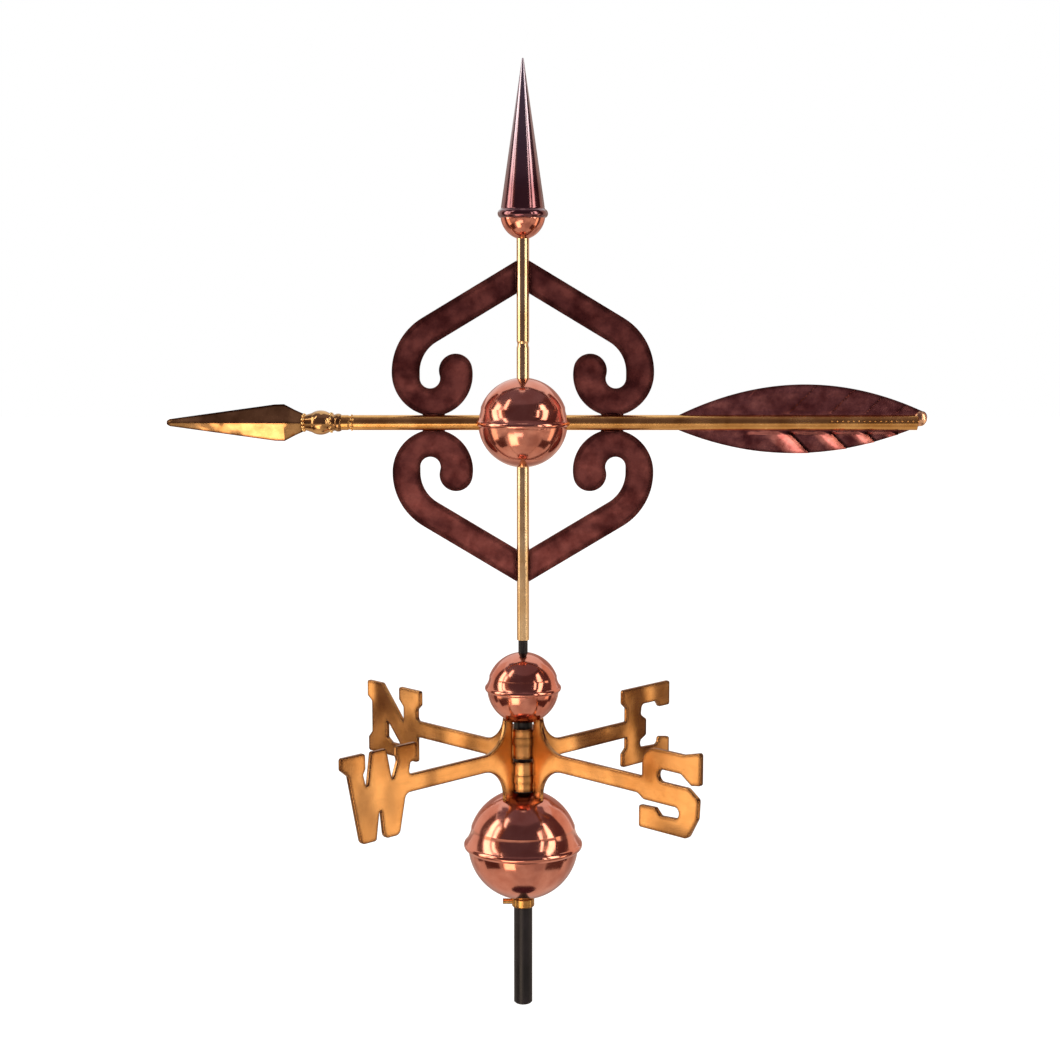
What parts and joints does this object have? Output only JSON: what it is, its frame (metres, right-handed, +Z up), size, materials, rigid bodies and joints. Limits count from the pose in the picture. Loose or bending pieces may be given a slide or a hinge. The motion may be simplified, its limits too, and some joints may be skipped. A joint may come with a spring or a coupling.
{
  "type": "weather vane",
  "caption": "Arrow weather vane with a pleated tail feather, scrolls, spun globes and a spire, turning on a steel mast above crossed arms that carry compass letters.",
  "frame": {"origin": "centre of the mast's bottom end face", "axes": "+Z up along the mast, +X from the mast towards the tail feather with the arrow pointing to -X at rest, +Y completes the right-hand frame; the letters stand on the diagonals, N at -X +Y, E at +X +Y, S at +X -Y, W at -X -Y"},
  "size_m": [0.634, 0.2874, 0.8015],
  "materials": {
    "black_steel": "satin black enamel on steel bar",
    "ball_steel": "ground and polished hard steel",
    "screw_steel": "blackened steel",
    "turned_brass": "turned, fine lathe lines",
    "polished_copper": "spun copper, mirror polished and lacquered",
    "cast_brass": "sand-cast, faces linished, edges darker",
    "tube_brass": "drawn tube, polished lengthwise",
    "head_brass": "cast, faces polished",
    "feather_copper": "pressed sheet copper, polished",
    "scroll_copper": "plate copper, dark lacquered",
    "spire_copper": "spun copper, deep red lacquer"
  },
  "bodies": {
    "mast": {"mast_rod": "black_steel", "thrust_ball": "ball_steel", "stop_collar": "turned_brass", "collar_set_screw": "screw_steel", "hub_set_screws": "screw_steel", "large_globe_lower": "polished_copper", "large_globe_upper": "polished_copper", "small_globe_lower": "polished_copper", "small_globe_upper": "polished_copper", "west_east_directional": "cast_brass", "north_south_directional": "cast_brass"},
    "vane": {"centre_globe_lower": "polished_copper", "centre_globe_upper": "polished_copper", "spindle_tube": "tube_brass", "bearing_plug": "turned_brass", "arrow_tube": "tube_brass", "arrowhead": "head_brass", "tail_feather": "feather_copper", "scroll_upper_right": "scroll_copper", "scroll_upper_left": "scroll_copper", "scroll_lower_right": "scroll_copper", "scroll_lower_left": "scroll_copper", "spire_cup": "spire_copper", "spire_cone": "spire_copper", "spire_bush": "turned_brass"}
  },
  "joints": [
    {"name": "vane_spin", "type": "hinge", "parent": "mast", "child": "vane", "pos_m": [0, 0, 0.5], "axis": [0, 0, 1], "continuous": true}
  ]
}
